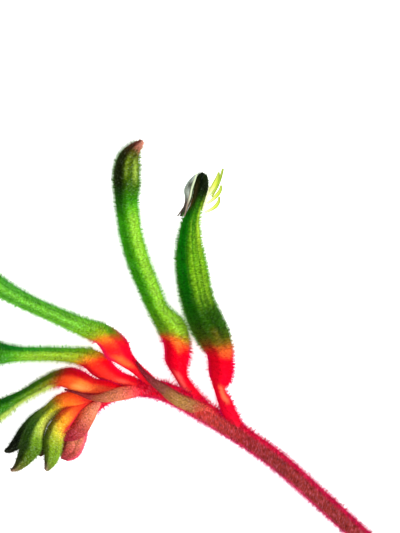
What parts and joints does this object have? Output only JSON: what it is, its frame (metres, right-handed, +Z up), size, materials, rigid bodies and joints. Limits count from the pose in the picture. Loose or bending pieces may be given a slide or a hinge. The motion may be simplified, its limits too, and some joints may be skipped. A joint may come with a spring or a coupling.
{
  "type": "cut kangaroo paw flower stem",
  "caption": "Cut flowering stem of a red and green kangaroo paw, lying on its side, with long ribbed tube flowers, one open, young buds and bracts.",
  "frame": {"origin": "centre of the bounding box, at the height of the surface that the stem lies on", "axes": "+Z up from the surface, +Y along the tall flowers, +X from the flower head towards the cut end of the stem"},
  "size_m": [0.1914, 0.2008, 0.0179],
  "materials": {
    "stem": "matt, covered in short crimson wool",
    "ovary": "matt, covered in short scarlet wool",
    "tube": "satin green skin, ribbed lengthwise, with short green hairs",
    "bud": "satin yellow-green skin, darker towards the tip",
    "pink_bud": "matt, salmon pink wool",
    "bract": "matt tan to dark brown leaf with fine lengthwise veins",
    "lobe": "satin, pale grey-cream inner side",
    "stamen": "satin lime yellow"
  },
  "bodies": {
    "root": {"stem": "stem", "flower_a_base": "ovary", "flower_a_tube": "tube", "flower_b_base": "ovary", "flower_b_tube": "tube", "flower_b_lobes": "lobe", "flower_b_stamens": "stamen", "flower_b_style": "stamen", "flower_c_base": "ovary", "flower_c_tube": "tube", "flower_d_base": "ovary", "flower_d_tube": "tube", "flower_e_base": "ovary", "flower_e_tube": "tube", "bud_1_base": "ovary", "bud_1_tube": "bud", "bud_2_base": "ovary", "bud_2_tube": "bud", "bud_3_base": "ovary", "bud_3_tube": "bud", "bud_4_base": "ovary", "bud_4_tube": "bud", "terminal_bud": "pink_bud", "bract_stem": "bract", "bract_side": "bract", "bract_end": "bract"}
  },
  "joints": []
}
